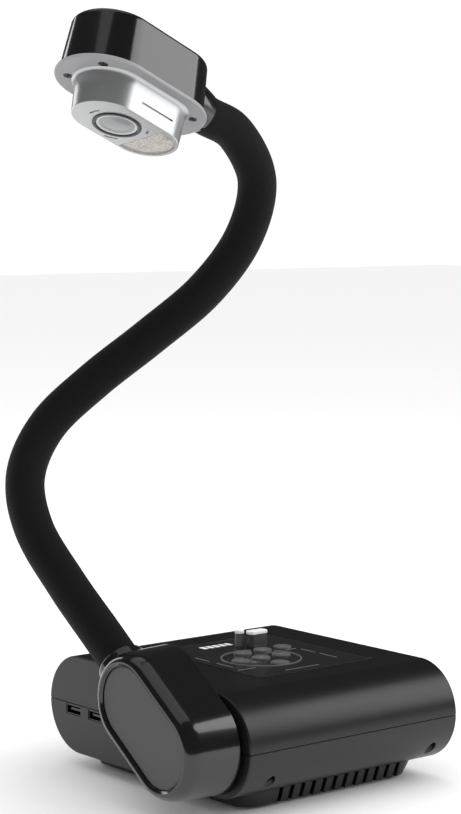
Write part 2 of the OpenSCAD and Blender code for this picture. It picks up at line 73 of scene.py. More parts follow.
COVER_LOW, COVER_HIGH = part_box("bottom_cover")[0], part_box("top_cover")[1]
SIDE = COVER_HIGH.x
ROUND_R = (COVER_HIGH.z - COVER_LOW.z) / 2
ROUND_Y = COVER_HIGH.y - ROUND_R
MID_Z = (COVER_HIGH.z + COVER_LOW.z) / 2
TOP_Z = COVER_HIGH.z
BASE_Z = COVER_LOW.z
JOINT = {j["name"]: j for j in frame["joints"]}
PIVOT = Vector(JOINT["arm_pivot"]["pos_m"])
ARM_GAP = -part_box("arm_shell")[1].x
ARM_RIM = -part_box("arm_shell")[0].x
KEYS = ["key_select", "key_up", "key_down", "key_left", "key_right", "key_zoom", "key_lamp"]

# The same values as the design: tilts, the neck's route and the head's own axes
ARM_TILT = math.radians(35)
ARM_LEN = 40 * MM
ARM_AXES = Matrix.Translation((0, PIVOT.y, PIVOT.z)) @ Matrix.Rotation(ARM_TILT, 4, "X") @ Matrix.Rotation(
    -math.pi / 2, 4, "Y"
)
HEAD_AXES = Matrix.Translation((-73.45 * MM, 23.75 * MM, 417.8 * MM)) @ Euler(
    [math.radians(a) for a in (11.5, -23.3, 183.65)]
).to_matrix().to_4x4()
NECK_X = -104.5
NECK_ROUTE = [
    (NECK_X, -24, 70), (NECK_X, 12, 96), (NECK_X, 50, 123), (-103, 87, 153),
    (-92, 112, 183), (-70, 119, 213), (-41, 108, 241), (-12, 87, 269),
    (16, 65, 299), (35, 49, 333), (38, 39, 369), (15.6, 33, 398.1), (-10, 31.3, 409.1),
    (-33.9, 29.8, 419.4),
]
NECK_HEIGHT = 17.6 * MM


def middle(node):
    low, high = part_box(node)
    return (low + high) / 2


# ---- settings ----


def length_setting(name, text, millimetres):
    return bpy.props.FloatProperty(name=name, description=text, default=millimetres * MM, unit="LENGTH")


def colour(name, text, value):
    return bpy.props.FloatVectorProperty(
        name=name, description=text, default=value, size=3, subtype="COLOR", min=0, max=1
    )


class DOCCAM_PG_base(bpy.types.PropertyGroup):
    wall: length_setting("Cover wall", "Wall of the plastic covers", 2.4)
    rim: length_setting("End rounding", "Rounding of the covers' end edges", 1.0)
    seam: length_setting("Seam", "Gap between the two covers", 0.3)
    vents: bpy.props.IntProperty(name="Vents", description="Vent slots in the front of the pan", default=12)
    vent_pitch: length_setting("Vent pitch", "Spacing of the vent slots", 8.55)
    lean: length_setting("Pan lean", "How far the pan's walls lean in at the bottom", 4.5)


class DOCCAM_PG_neck(bpy.types.PropertyGroup):
    radius: length_setting("Radius", "Outer radius of the sleeved neck", 12.5)
    step: bpy.props.IntProperty(name="Rings", description="Rings between two points of the route", default=12)
    bend: length_setting("Bend length", "Length of sleeve that bends at each joint", 70)


class DOCCAM_PG_head(bpy.types.PropertyGroup):
    flange_r: length_setting("Flange radius", "Radius of the flange's round ends", 31)
    flange_len: length_setting("Flange middle", "Distance between its round ends", 43)
    flange_t: length_setting("Flange thickness", "Thickness of the flange", 2.6)
    housing_h: length_setting("Housing height", "Height of the housing over the flange", 33.4)
    lens_h: length_setting("Lens housing depth", "Depth of the lens housing", 21.5)
    lens_len: length_setting("Lens housing middle", "Distance between its round ends", 32)
    lens_at: length_setting("Lens offset", "Lens centre, towards the free end", 7)


class DOCCAM_PG_finish(bpy.types.PropertyGroup):
    cover: colour("Covers", "Satin black of the base covers", (0.0065, 0.0065, 0.007))
    gloss: colour("Gloss black", "Piano black of the arm block and head", (0.006, 0.006, 0.0065))
    cap: colour("End cap", "Matt dark grey of the arm block's end cap", (0.055, 0.055, 0.057))
    key: colour("Keys", "Dark grey of the keys", (0.10, 0.10, 0.105))
    legend: colour("Legends", "Light grey of the printed marks", (0.22, 0.22, 0.225))
    neck: colour("Neck", "Dark sleeve of the neck", (0.004, 0.004, 0.0045))
    flange: colour("Flange", "Light grey of the head's flange", (0.30, 0.30, 0.31))
    silver: colour("Lens housing", "Silver of the lens housing", (0.5, 0.505, 0.51))


class DOCCAM_PG_stage(bpy.types.PropertyGroup):
    eye: bpy.props.FloatVectorProperty(
        name="Camera place", description="Where the camera stands", default=(-0.8897, -1.0697, 0.3547),
        size=3, subtype="TRANSLATION", unit="LENGTH",
    )
    yaw: bpy.props.FloatProperty(
        name="Yaw", description="Camera's turn to the right of straight back", default=math.radians(39.25),
        subtype="ANGLE",
    )
    pitch: bpy.props.FloatProperty(
        name="Pitch", description="Camera's tilt below level", default=math.radians(5.16), subtype="ANGLE"
    )
    lens: bpy.props.FloatProperty(name="Lens", description="Focal length in millimetres", default=99.7)


GROUPS = {
    "doccam_base": DOCCAM_PG_base,
    "doccam_neck": DOCCAM_PG_neck,
    "doccam_head": DOCCAM_PG_head,
    "doccam_finish": DOCCAM_PG_finish,
    "doccam_stage": DOCCAM_PG_stage,
}

# ---- modelling helpers ----


def only(obj):
    """Makes obj the one selected and active object."""
    if bpy.context.object and bpy.context.object.mode != "OBJECT":
        bpy.ops.object.mode_set(mode="OBJECT")
    bpy.ops.object.select_all(action="DESELECT")
    obj.select_set(True)
    bpy.context.view_layer.objects.active = obj
    return obj


def clear():
    if bpy.context.object and bpy.context.object.mode != "OBJECT":
        bpy.ops.object.mode_set(mode="OBJECT")
    bpy.ops.object.select_all(action="DESELECT")


def named(name):
    obj = bpy.context.object
    obj.name = name
    obj.data.name = name
    return obj


def settle(obj, axes=None):
    """Bakes the object's place, after moving it by axes, into its mesh."""
    if axes is not None:
        obj.matrix_world = axes @ obj.matrix_world
    only(obj)
    bpy.ops.object.transform_apply(location=True, rotation=True, scale=True)
    return obj


def modify(obj, kind, **values):
    only(obj)
    modifier = obj.modifiers.new(kind.lower(), kind)
    for key, value in values.items():
        setattr(modifier, key, value)
    bpy.ops.object.modifier_apply(modifier=modifier.name)
    return obj


def choose(obj, test):
    """Selects the vertices for which test says yes, and enters edit mode."""
    only(obj)
    bpy.ops.object.mode_set(mode="EDIT")
    bpy.ops.mesh.select_mode(type="VERT")
    bpy.ops.mesh.select_all(action="DESELECT")
    bpy.ops.object.mode_set(mode="OBJECT")
    for v in obj.data.vertices:
        v.select = test(v.co)
    bpy.ops.object.mode_set(mode="EDIT")


def outward(obj):
    only(obj)
    bpy.ops.object.mode_set(mode="EDIT")
    bpy.ops.mesh.select_all(action="SELECT")
    bpy.ops.mesh.normals_make_consistent(inside=False)
    bpy.ops.object.mode_set(mode="OBJECT")
    return obj


def turned(name, profile, sides=96):
    """A solid turned about Z. profile is (radius, height) from the first face to the last."""
    clear()
    radius, height = profile[0]
    bpy.ops.mesh.primitive_circle_add(
        vertices=sides, radius=radius, fill_type="NGON", location=(0, 0, height),
        rotation=(0, 0, math.pi / sides),
    )
    obj = settle(named(name))
    bpy.ops.object.mode_set(mode="EDIT")
    bpy.ops.mesh.select_all(action="SELECT")
    for r, z in profile[1:]:
        bpy.ops.mesh.extrude_region_move(TRANSFORM_OT_translate={"value": (0, 0, z - height)})
        bpy.ops.transform.resize(value=(r / radius, r / radius, 1), center_override=(0, 0, 0))
        radius, height = r, z
    bpy.ops.object.mode_set(mode="OBJECT")
    return outward(obj)


def long_round(name, profile, length, sides=96):
    """A turned solid with its halves drawn apart by length along Y."""
    obj = turned(name, profile, sides)
    choose(obj, lambda p: p.y > 0)
    bpy.ops.transform.translate(value=(0, length, 0))
    bpy.ops.object.mode_set(mode="OBJECT")
    return obj


def long_round_x(name, profile, length, sides=96):
    """The same, centred, with its long side along X."""
    obj = long_round(name, profile, length, sides)
    return settle(obj, Matrix.Rotation(-math.pi / 2, 4, "Z") @ Matrix.Translation((0, -length / 2, 0)))


def rounded(radius, height, step_r, step_z, count=5):
    """Profile points of a quarter round from (radius, height) to (radius - step_r, height + step_z)."""
    return [
        (radius - step_r * (1 - math.cos(a)), height + step_z * math.sin(a))
        for a in (math.pi / 2 * k / count for k in range(count + 1))
    ]


def block(name, size, place=(0, 0, 0), soft=0.0, segments=3, upright=False):
    """A box of that size about place, with all its edges or only the upright ones rounded."""
    clear()
    bpy.ops.mesh.primitive_cube_add(size=1, location=place, scale=size)
    obj = settle(named(name))
    if not soft:
        return obj
    only(obj)
    bpy.ops.object.mode_set(mode="EDIT")
    bpy.ops.mesh.select_mode(type="EDGE")
    bpy.ops.mesh.select_all(action="DESELECT")
    bpy.ops.object.mode_set(mode="OBJECT")
    for e in obj.data.edges:
        a, b = (obj.data.vertices[i].co for i in e.vertices)
        e.select = not upright or abs(a.z - b.z) > size[2] / 2
    bpy.ops.object.mode_set(mode="EDIT")
    bpy.ops.mesh.bevel(offset=soft, segments=segments, affect="EDGES")
    bpy.ops.object.mode_set(mode="OBJECT")
    return obj


def rod(name, radius, start, end, sides=48):
    """A plain cylinder between two points, mostly used to cut a hole."""
    clear()
    start, end = Vector(start), Vector(end)
    along = end - start
    bpy.ops.mesh.primitive_cylinder_add(vertices=sides, radius=radius, depth=along.length)
    obj = named(name)
    turn = along.to_track_quat("Z", "Y").to_matrix().to_4x4()
    return settle(obj, Matrix.Translation((start + end) / 2) @ turn)


def bore(obj, radius, end=0.01):
    """Opens a turned piece along its own axis."""
    return cut(obj, [rod("hole", radius, (0, 0, -0.01), (0, 0, end), 96)])


def joined(name, pieces):
    only(pieces[0])
    for piece in pieces[1:]:
        piece.select_set(True)
    bpy.ops.object.join()
    return named(name)


def cut(obj, cutters):
    """Takes the cutters' shapes out of obj."""
    tool = joined("cutter", cutters) if len(cutters) > 1 else cutters[0]
    modify(obj, "BOOLEAN", object=tool, operation="DIFFERENCE", solver="EXACT")
    bpy.data.objects.remove(tool)
    if not obj.data.polygons:
        raise RuntimeError(f"nothing is left of {obj.name} after a cut")
    return obj


def slice_off(obj, point, normal):
    """Cuts obj at a plane, keeps the side that normal points away from and closes it."""
    only(obj)
    bpy.ops.object.mode_set(mode="EDIT")
    bpy.ops.mesh.select_all(action="SELECT")
    bpy.ops.mesh.bisect(plane_co=point, plane_no=normal, use_fill=True, clear_outer=True)
    bpy.ops.object.mode_set(mode="OBJECT")
    return obj


def soften(obj, width, segments=2, angle=40):
    return modify(
        obj, "BEVEL", width=width, segments=segments, limit_method="ANGLE", angle_limit=math.radians(angle),
        use_clamp_overlap=True, harden_normals=False,
    )


def smooth(obj, angle=32):
    """Smooth shading that keeps flat faces flat beside small roundings."""
    only(obj)
    bpy.ops.object.shade_smooth_by_angle(angle=math.radians(angle))
    return modify(obj, "WEIGHTED_NORMAL", keep_sharp=True, weight=60)


def fit_out(obj, body, look, slot, *nodes):
    """Gives a finished piece its finish and body, and hides the nodes that it stands for. The slot argument is not
    used.
    """
    obj.data.materials.clear()
    obj.data.materials.append(finish(look))
    if body:
        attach(obj, body)
    if nodes:
        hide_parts(*nodes)


def on_base(obj, look, slot, *nodes):
    smooth(obj)
    fit_out(obj, "base", look, slot, *nodes)


def on_arm(obj, look, slot, *nodes, axes=None):
    """Puts a piece made in the arm block's own axes in its place."""
    smooth(settle(obj, axes or ARM_AXES))
    fit_out(obj, "arm_block", look, slot, *nodes)


def on_head(obj, look, slot, *nodes):
    """Puts a piece made in the head's own axes in its place."""
    smooth(settle(obj, HEAD_AXES))
    fit_out(obj, "camera_head", look, slot, *nodes)


# ---- materials ----


def input_socket(group, name, kind, value=None):
    socket = group.interface.new_socket(name=name, in_out="INPUT", socket_type=kind)
    if value is not None:
        socket.default_value = value
    return socket


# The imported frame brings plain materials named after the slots, so the finishes carry a prefix
PREFIX = "doccam_"


def grain_group():
    """Moulded surface: a fine bump and small shifts of colour and roughness, in millimetres of grain."""
    found = bpy.data.node_groups.get("moulded_grain")
    if found:
        return found
    group = bpy.data.node_groups.new("moulded_grain", "ShaderNodeTree")
    input_socket(group, "Colour", "NodeSocketColor", (0.5, 0.5, 0.5, 1))
    input_socket(group, "Roughness", "NodeSocketFloat", 0.4)
    input_socket(group, "Grain", "NodeSocketFloat", 2500.0)
    input_socket(group, "Depth", "NodeSocketFloat", 0.05)
    input_socket(group, "Variation", "NodeSocketFloat", 0.1)
    for name, kind in (("Colour", "Color"), ("Roughness", "Float"), ("Normal", "Vector")):
        group.interface.new_socket(name=name, in_out="OUTPUT", socket_type="NodeSocket" + kind)
    n, link = group.nodes, group.links.new
    inside, outside = n.new("NodeGroupInput"), n.new("NodeGroupOutput")
    place = n.new("ShaderNodeTexCoord")
    fine, broad = n.new("ShaderNodeTexNoise"), n.new("ShaderNodeTexNoise")
    fine.inputs["Detail"].default_value = 3
    broad.inputs["Scale"].default_value = 35
    broad.inputs["Detail"].default_value = 4
    link(place.outputs["Object"], fine.inputs["Vector"])
    link(place.outputs["Object"], broad.inputs["Vector"])
    link(inside.outputs["Grain"], fine.inputs["Scale"])
    bump = n.new("ShaderNodeBump")
    bump.inputs["Distance"].default_value = 0.0002
    link(inside.outputs["Depth"], bump.inputs["Strength"])
    link(fine.outputs["Fac"], bump.inputs["Height"])
    link(bump.outputs["Normal"], outside.inputs["Normal"])
    centred = n.new("ShaderNodeMath")
    centred.operation = "SUBTRACT"
    centred.inputs[1].default_value = 0.5
    link(broad.outputs["Fac"], centred.inputs[0])
    swing = n.new("ShaderNodeMath")
    swing.operation = "MULTIPLY"
    link(centred.outputs[0], swing.inputs[0])
    link(inside.outputs["Variation"], swing.inputs[1])
    rough = n.new("ShaderNodeMath")
    rough.operation = "ADD"
    rough.use_clamp = True
    link(inside.outputs["Roughness"], rough.inputs[0])
    link(swing.outputs[0], rough.inputs[1])
    link(rough.outputs[0], outside.inputs["Roughness"])
    gain = n.new("ShaderNodeMath")
    gain.operation = "ADD"
    gain.inputs[0].default_value = 1.0
    link(swing.outputs[0], gain.inputs[1])
    tint = n.new("ShaderNodeVectorMath")
    tint.operation = "SCALE"
    link(inside.outputs["Colour"], tint.inputs[0])
    link(gain.outputs[0], tint.inputs["Scale"])
    link(tint.outputs[0], outside.inputs["Colour"])
    return group


def moulded(name, tone, roughness, grain=2500, depth=0.05, variation=0.08, **shader):
    """A plastic or metal finish: the grain group into a Principled shader, with its constant sockets set."""
    found = bpy.data.materials.get(PREFIX + name)
    if found:
        return found
    mat = bpy.data.materials.new(PREFIX + name)
    mat.use_nodes = True
    n, link = mat.node_tree.nodes, mat.node_tree.links.new
    bsdf = n["Principled BSDF"]
    surface = n.new("ShaderNodeGroup")
    surface.node_tree = grain_group()
    surface.inputs["Colour"].default_value = (*tone, 1)
    surface.inputs["Roughness"].default_value = roughness
    surface.inputs["Grain"].default_value = grain
    surface.inputs["Depth"].default_value = depth
    surface.inputs["Variation"].default_value = variation
    link(surface.outputs["Colour"], bsdf.inputs["Base Color"])
    link(surface.outputs["Roughness"], bsdf.inputs["Roughness"])
    link(surface.outputs["Normal"], bsdf.inputs["Normal"])
    for socket, value in shader.items():
        bsdf.inputs[socket.replace("_", " ")].default_value = value
    return mat


def finish(name):
    """The finishes of this object, by name."""
    tone = bpy.context.scene.doccam_finish
    made = {
        "satin_cover": lambda: moulded("satin_cover", tone.cover, 0.34, 3200, 0.06, 0.05),
        "piano_black": lambda: moulded(
            "piano_black", tone.gloss, 0.16, 900, 0.004, 0.03, Coat_Weight=0.6, Coat_Roughness=0.06
        ),
        "cap_texture": lambda: moulded("cap_texture", tone.cap, 0.5, 4200, 0.12, 0.06),
        "panel_gloss": lambda: moulded("panel_gloss", tone.cover, 0.2, 1200, 0.01, 0.05, Coat_Weight=0.3),
        "key_plastic": lambda: moulded("key_plastic", tone.key, 0.42, 3000, 0.06, 0.06),
        "legend_print": lambda: moulded("legend_print", tone.legend, 0.5, 6000, 0.03, 0.1),
        # White of the printed label; the same white is also a painted highlight on the window's cap and the power
        # button's cap
        "white_print_and_painted_highlight": lambda: moulded("white_print_and_painted_highlight", (0.85, 0.85, 0.85), 0.5, 6000, 0.03, 0.05),
        "trim_grey": lambda: moulded("trim_grey", (0.13, 0.13, 0.135), 0.35, 3000, 0.03, 0.08),
        "flange_satin": lambda: moulded("flange_satin", tone.flange, 0.38, 3600, 0.04, 0.04),
        "lens_silver": lambda: moulded("lens_silver", tone.silver, 0.3, 3600, 0.03, 0.04, Metallic=0.8),
        "ring_black": lambda: moulded("ring_black", (0.004, 0.004, 0.004), 0.22, 1500, 0.01, 0.04),
        "lens_front": lambda: moulded(
            "lens_front", (0.26, 0.265, 0.27), 0.25, 1500, 0.008, 0.1, Coat_Weight=0.4
        ),
        "lens_border": lambda: moulded("lens_border", (0.6, 0.6, 0.61), 0.3, 1500, 0.01, 0.05),
        "ir_filter": lambda: moulded("ir_filter", (0.045, 0.043, 0.046), 0.2, 1500, 0.01, 0.06),
        "foot_rubber": lambda: moulded("foot_rubber", (0.025, 0.025, 0.025), 0.8, 1800, 0.25, 0.1),
        "mat_silicone": lambda: moulded("mat_silicone", (0.55, 0.53, 0.47), 0.6, 1500, 0.05, 0.08),
        "board_green": lambda: moulded("board_green", (0.012, 0.09, 0.035), 0.35, 700, 0.05, 0.25),
        "plated_steel": lambda: moulded("plated_steel", (0.55, 0.55, 0.56), 0.3, 2600, 0.06, 0.12, Metallic=1.0),
        "dark_nickel": lambda: moulded("dark_nickel", (0.1, 0.1, 0.1), 0.4, 2600, 0.06, 0.12, Metallic=1.0),
        "cast_alloy": lambda: moulded("cast_alloy", (0.6, 0.6, 0.61), 0.48, 1300, 0.3, 0.15, Metallic=1.0),
        "wound_steel": lambda: moulded("wound_steel", (0.4, 0.4, 0.41), 0.35, 2200, 0.1, 0.12, Metallic=1.0),
        "sintered_bronze": lambda: moulded("sintered_bronze", (0.5, 0.34, 0.16), 0.45, 2200, 0.2, 0.15, Metallic=1.0),
        "socket_blue": lambda: moulded("socket_blue", (0.02, 0.045, 0.25), 0.4, 2500, 0.05, 0.08),
        "moulded_black": lambda: moulded("moulded_black", (0.008, 0.008, 0.008), 0.45, 2500, 0.08, 0.08),
        "lamp_chrome": lambda: moulded("lamp_chrome", (0.4, 0.39, 0.34), 0.16, 1200, 0.03, 0.06, Metallic=1.0),
        "lamp_phosphor": lambda: moulded("lamp_phosphor", (0.75, 0.6, 0.25), 0.4, 4000, 0.1, 0.15),
        "lamp_clear": lambda: clear_plastic("lamp_clear", (0.97, 0.96, 0.92)),
        "neck_sleeve_cloth": sleeve_cloth,
    }
    return made[name]()


def clear_plastic(name, tone, ior=1.49, transmission=0.92):
    """Clear cover over the lamps: smooth transmission with a slight ripple."""
    found = bpy.data.materials.get(PREFIX + name)
    if found:
        return found
    mat = moulded(name, tone, 0.06, 900, 0.05, 0.02)
    bsdf = mat.node_tree.nodes["Principled BSDF"]
    bsdf.inputs["IOR"].default_value = ior
    bsdf.inputs["Transmission Weight"].default_value = transmission
    return mat


def sleeve_cloth():
    """Neck sleeve: a fine slanting weave that follows the sleeve's own map, matt with a soft sheen."""
    found = bpy.data.materials.get(PREFIX + "neck_sleeve_cloth")
    if found:
        return found
    tone = bpy.context.scene.doccam_finish.neck
    mat = moulded("neck_sleeve_cloth", tone, 0.78, 5000, 0.3, 0.08)
    n, link = mat.node_tree.nodes, mat.node_tree.links.new
    bsdf = n["Principled BSDF"]
    bsdf.inputs["Sheen Weight"].default_value = 0.03
    bsdf.inputs["Sheen Roughness"].default_value = 0.45
    bsdf.inputs["Specular IOR Level"].default_value = 0.2
    uv = n.new("ShaderNodeUVMap")
    uv.uv_map = "sleeve"
    height = None
    for slant in (-1, 1):
        turn = n.new("ShaderNodeMapping")
        turn.inputs["Rotation"].default_value = (0, 0, slant * math.radians(45))
        link(uv.outputs["UV"], turn.inputs["Vector"])
        thread = n.new("ShaderNodeTexWave")
        thread.inputs["Scale"].default_value = 300
        thread.inputs["Distortion"].default_value = 0.6
        thread.inputs["Detail"].default_value = 1
        link(turn.outputs["Vector"], thread.inputs["Vector"])
        if height is None:
            height = thread.outputs["Fac"]
        else:
            top = n.new("ShaderNodeMath")
            top.operation = "MAXIMUM"
            link(height, top.inputs[0])
            link(thread.outputs["Fac"], top.inputs[1])
            height = top.outputs[0]
    weave = n.new("ShaderNodeBump")
    weave.inputs["Strength"].default_value = 0.35
    weave.inputs["Distance"].default_value = 0.0004
    grain = next(x for x in n if x.type == "GROUP")
    link(height, weave.inputs["Height"])
    link(grain.outputs["Normal"], weave.inputs["Normal"])
    link(weave.outputs["Normal"], bsdf.inputs["Normal"])
    return mat


# ---- base ----


def base_solid(name, grow, rim):
    """The rounded body of the base, grown or shrunk, with its end edges rounded by rim."""
    r, half = ROUND_R + grow, SIDE + grow
    profile = [(r - rim, -half)]
    profile += [(r - rim + rim * math.sin(a), -half + rim * (1 - math.cos(a))) for a in rim_steps()]
    profile += [(r - rim + rim * math.sin(a), half - rim * (1 - math.cos(a))) for a in reversed(rim_steps())]
    profile += [(r - rim, half)]
    if not rim:
        profile = [(r, -half), (r, half)]
    obj = long_round(name, profile, 2 * ROUND_Y, 128)
    lay = Matrix.Translation((0, -ROUND_Y, MID_Z)) @ Matrix.Rotation(math.pi / 2, 4, "Y")
    return settle(obj, lay)


def rim_steps(count=4):
    return [math.pi / 2 * (k + 1) / count for k in range(count)]


def key_cutters():
    tools = []
    for key in KEYS:
        c = middle(key)
        tools.append(rod("hole", 6.3 * MM, (c.x, c.y, TOP_Z - 12 * MM), (c.x, c.y, TOP_Z + 4 * MM)))
    c = middle("power_button")
    tools.append(rod("hole", 3.3 * MM, (c.x, c.y, TOP_Z - 12 * MM), (c.x, c.y, TOP_Z + 4 * MM)))
    c = middle("ir_window")
    tools.append(block("hole", (14.2 * MM, 7.2 * MM, 20 * MM), (c.x, c.y, TOP_Z), 2 * MM, 4, upright=True))
    return tools


def pivot_cutter():
    return rod("hole", 10.5 * MM, (-SIDE - 0.01, PIVOT.y, PIVOT.z), (-SIDE + 0.008, PIVOT.y, PIVOT.z))


class DOCCAM_OT_covers(bpy.types.Operator):
    """Builds the upper and lower covers of the base with their holes"""

    bl_idname = "doccam.covers"
    bl_label = "Base covers"

    def execute(self, context):
        s = context.scene.doccam_base
        low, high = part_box("panel_overlay")
        label = (low + high) / 2

        top = base_solid("upper_cover", 0, s.rim)
        slice_off(top, (0, 0, MID_Z + s.seam / 2), (0, 0, -1))
        hollow = slice_off(base_solid("hollow", -s.wall, 0), (0, 0, MID_Z - 0.001), (0, 0, -1))
        recess = block(
            "recess", (high.x - low.x + 1.6 * MM, high.y - low.y + 1.6 * MM, 4 * MM),
            (label.x, label.y, TOP_Z + 1.4 * MM), 6.8 * MM, 6, upright=True,
        )
        cut(top, [hollow])
        cut(top, [recess])
        cut(top, key_cutters())
        cut(top, [pivot_cutter()])
        soften(top, 0.3 * MM)
        on_base(top, "satin_cover", "cover_black", "top_cover")

        low_cover = base_solid("lower_cover", 0, s.rim)
        slice_off(low_cover, (0, 0, MID_Z - s.seam / 2), (0, 0, 1))
        hollow = slice_off(base_solid("hollow", -s.wall, 0), (0, 0, MID_Z + 0.001), (0, 0, 1))
        cut(low_cover, [hollow])
        ports = []
        for node, width, height in (("video_socket", 15.4, 6.2), ("data_socket", 13.6, 6.2)):
            c = middle(node)
            ports.append(block("hole", (12 * MM, width * MM, height * MM), (-SIDE, c.y, c.z)))
        c = middle("monitor_socket")
        ports.append(block("hole", (12 * MM, 31.4 * MM, 12.8 * MM), (SIDE, c.y, c.z)))
        c = middle("power_inlet")
        ports.append(rod("hole", 5.7 * MM, (SIDE - 0.008, c.y, c.z), (SIDE + 0.008, c.y, c.z)))
        cut(low_cover, ports)
        cut(low_cover, [pivot_cutter()])
        soften(low_cover, 0.3 * MM)
        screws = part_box("cover_screws")
        wells = []
        for x in (screws[0].x + 3 * MM, screws[1].x - 3 * MM):
            for y in (screws[0].y + 3 * MM, screws[1].y - 3 * MM):
                wells.append(rod("hole", 3.6 * MM, (x, y, 0), (x, y, screws[0].z + 2 * MM), 32))
        cut(low_cover, wells)
        on_base(low_cover, "satin_cover", "cover_black", "bottom_cover")
        return {"FINISHED"}


class DOCCAM_OT_pan(bpy.types.Operator):
    """Builds the sloped pan under the base with its rows of vent slots"""

    bl_idname = "doccam.pan"
    bl_label = "Base pan"

    def execute(self, context):
        s = context.scene.doccam_base
        low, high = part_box("base_pan")
        top_z = BASE_Z + 4 * MM
        grow = s.lean * 4 / (high.z - low.z) * MM
        size = (high.x - low.x + grow, high.y - low.y + grow, top_z - low.z)
        centre = ((low.x + high.x) / 2, 0, (top_z + low.z) / 2)
        pan = block("vented_pan", size, centre, 14 * MM, 10, upright=True)
        lean_in = 1 - 2 * s.lean / size[0], 1 - 2 * s.lean / size[1], 1
        choose(pan, lambda p: p.z < centre[2])
        bpy.ops.transform.resize(value=lean_in, center_override=centre)
        bpy.ops.object.mode_set(mode="OBJECT")
        inner = block(
            "hollow", (size[0] - 5 * MM, size[1] - 5 * MM, size[2]),
            (centre[0], 0, centre[2] + s.wall), 11 * MM, 8, upright=True,
        )
        choose(inner, lambda p: p.z < centre[2])
        bpy.ops.transform.resize(value=lean_in, center_override=centre)
        bpy.ops.object.mode_set(mode="OBJECT")
        cut(pan, [inner])
        cut(pan, [base_solid("hollow", 0.05 * MM, 0)])
        vents = []
        for i in range(s.vents):
            x = 6 * MM + (i - (s.vents - 1) / 2) * s.vent_pitch
            for side in (-1, 1):
                vents.append(
                    block("slot", (3 * MM, 12 * MM, 30 * MM), (x, side * (high.y - 2 * MM), low.z + 14 * MM))
                )
        cut(pan, vents)
        soften(pan, 0.4 * MM)
        on_base(pan, "satin_cover", "cover_black", "base_pan")
        return {"FINISHED"}


# ---- control panel ----


def mark(name, size, place, lift=0.06 * MM, soft=0.3 * MM):
    """A printed mark: a thin plate just over the panel."""
    return block(
        name, (size[0] * MM, size[1] * MM, lift), (place[0] * MM, place[1] * MM, TOP_Z + lift / 2),
        min(soft, size[0] * MM / 2.2, size[1] * MM / 2.2), 2, upright=True,
    )


class DOCCAM_OT_panel(bpy.types.Operator):
    """Builds the panel label, its trim ring, the window and the printed marks"""

    bl_idname = "doccam.panel"
    bl_label = "Control panel"

    def execute(self, context):
        low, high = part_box("panel_overlay")
        label = block(
            "panel_label", (high.x - low.x, high.y - low.y, high.z - low.z), (low + high) / 2,
            6 * MM, 8, upright=True,
        )
        cut(label, key_cutters())
        soften(label, 0.15 * MM)
        on_base(label, "panel_gloss", "panel_gloss", "panel_overlay")

        low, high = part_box("nav_ring")
        r_out, base = (high.x - low.x) / 2, low.z
        r_in = r_out - 0.9 * MM
        ring = turned(
            "trim_ring",
            [(r_in, base), (r_out, base), (r_out, base + 0.3 * MM), (r_out - 0.25 * MM, base + 0.5 * MM),
             (r_in + 0.25 * MM, base + 0.5 * MM), (r_in, base + 0.3 * MM), (r_in, base + 0.01 * MM)],
        )
        c = middle("key_select")
        settle(ring, Matrix.Translation((c.x, c.y, 0)))
        hole = rod("hole", r_in, (c.x, c.y, base - 0.01), (c.x, c.y, base + 0.01), 96)
        z = middle("key_zoom")
        gap = rod("hole", 7.2 * MM, (z.x, z.y, base - 0.01), (z.x, z.y, base + 0.01))
        cut(ring, [hole])
        cut(ring, [gap])
        on_base(ring, "trim_grey", "trim_grey", "nav_ring")

        low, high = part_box("ir_window")
        c = (low + high) / 2
        seam = high.z - 2.6 * MM
        window = block(
            "sensor_window", (14 * MM, 7 * MM, seam - low.z), (c.x, c.y, (seam + low.z) / 2),
            2 * MM, 6, upright=True,
        )
        groove = block(
            "groove", (13 * MM, 6 * MM, 0.6 * MM), (c.x, c.y, seam + 0.2 * MM), 1.6 * MM, 6, upright=True
        )
        window = joined("sensor_window", [window, groove])
        on_base(window, "ir_filter", "ir_dark", "ir_window")
        # White cap on the window: the white is a painted highlight on the window's top
        cap = block(
            "painted_highlight_window_cap", (14 * MM, 7 * MM, 2.2 * MM), (c.x, c.y, high.z - 1.1 * MM), 2 * MM, 6, upright=True
        )
        soften(cap, 0.5 * MM, 3, 60)
        on_base(cap, "white_print_and_painted_highlight", "trim_grey")

        marks = [mark("mark", (length, 0.7), (x, y)) for x, y, length in MARKS_X]
        marks += [mark("mark", (0.7, length), (x, y)) for x, y, length in MARKS_Y]
        print_marks = joined("printed_marks", marks)
        on_base(print_marks, "legend_print", "trim_grey")
        label = joined("plain_label", [mark("mark", (3.6, 6.5), (x, 40)) for x in (-5, 0, 5, 10, 15)])
        on_base(label, "white_print_and_painted_highlight", "trim_grey")
        return {"FINISHED"}


# Printed lines on the panel, in millimetres: centre and length
MARKS_X = [(-25, -27, 14), (4.5, -44.6, 27), (19.4, 2.6, 9), (35.8, 2.6, 9)]
MARKS_Y = [(-28.5, 12, 14), (-28.5, -10, 16), (41.5, -8, 14), (41.5, -27, 16)]


